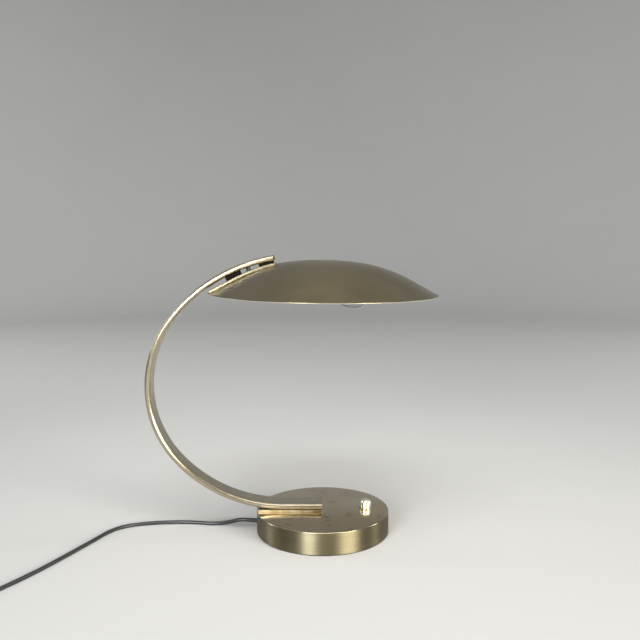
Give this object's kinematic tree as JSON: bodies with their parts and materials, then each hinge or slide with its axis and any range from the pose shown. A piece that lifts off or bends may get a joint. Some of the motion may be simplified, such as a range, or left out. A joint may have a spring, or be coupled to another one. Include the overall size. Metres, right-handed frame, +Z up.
{
  "type": "desk lamp",
  "caption": "Desk lamp with a round weighted foot, a flat bent tube arm, a wide shallow dome shade that slides on the arm's end, and a push button on the foot.",
  "frame": {"origin": "centre of the round foot on the surface that the lamp stands on", "axes": "+Z up; the arm bows towards -X and the button is towards +X; +Y is the lamp's far side in the picture"},
  "size_m": [0.7131, 0.5064, 0.4194],
  "materials": {
    "satin_nickel": "satin brushed nickel plate over brass, warmed by age",
    "polished_nickel": "polished nickel plate",
    "dark_fibre": "black vulcanised fibre",
    "felt": "black felt",
    "steel": "zinc-plated steel",
    "cast_iron": "rough cast iron",
    "brass": "plain brass",
    "holder_metal": "nickel-plated brass",
    "ceramic": "glazed porcelain",
    "black_plastic": "moulded black plastic",
    "pale_plastic": "moulded pale plastic",
    "black_rubber": "moulded black rubber",
    "cord_sheath": "smooth black PVC sheath",
    "wire_sheath": "brown PVC insulation",
    "bulb_glass": "clear blown glass",
    "bulb_metal": "bright aluminium and nickel wire",
    "filament": "tungsten wire",
    "plug_pins": "nickel-plated brass pins"
  },
  "bodies": {
    "root": {"arm_foot_cap": "satin_nickel", "arm_foot_insert": "steel", "arm_foot_plate": "satin_nickel", "arm_screws": "steel", "arm_top_cap": "dark_fibre", "arm_tube": "satin_nickel", "arm_wires": "wire_sheath", "base_bottom_plate": "steel", "base_cover": "satin_nickel", "base_pad": "felt", "base_weight": "cast_iron", "bottom_screws": "steel", "cord_clamp": "pale_plastic", "cord_coil": "cord_sheath", "cord_relief": "black_rubber", "cord_run": "cord_sheath", "cord_tail": "cord_sheath", "inlet_wires": "wire_sheath", "inner_cord": "cord_sheath", "plug_body": "black_rubber", "plug_pins": "plug_pins", "switch_body": "black_plastic", "switch_collar": "polished_nickel", "switch_nut": "steel", "switch_spring": "steel", "switch_terminals": "brass", "switch_wires": "wire_sheath", "terminal_block": "pale_plastic"},
    "shade_unit": {"shade": "satin_nickel", "shade_rail": "satin_nickel", "guide_front": "dark_fibre", "guide_rear": "dark_fibre", "guide_screws": "steel", "lead_grommet": "black_rubber", "lead_sleeve": "black_plastic", "shade_wires": "wire_sheath", "holder_bracket": "steel", "holder_nipple": "brass", "holder_nut": "brass", "holder_cap": "holder_metal", "holder_shell": "holder_metal", "holder_insert": "ceramic", "centre_contact": "brass", "thread_shell": "brass", "bulb_glass": "bulb_glass", "bulb_cap": "bulb_metal", "bulb_contact": "bulb_metal", "bulb_insulator": "black_plastic", "bulb_stem": "bulb_glass", "bulb_supports": "bulb_metal", "bulb_filament": "filament"},
    "button": {"button_cap": "polished_nickel", "button_stem": "steel"}
  },
  "joints": [
    {"name": "shade_slide", "type": "hinge", "parent": "root", "child": "shade_unit", "pos_m": [-0.036, 0, 0.17393], "axis": [0, -1, 0], "range_deg": [0, 10]},
    {"name": "button_press", "type": "slide", "parent": "root", "child": "button", "axis": [0, 0, -1], "range_m": [0, 0.003], "stiffness_N_per_m": 500, "springref_m": -0.002, "deforming": ["switch_spring"]}
  ]
}
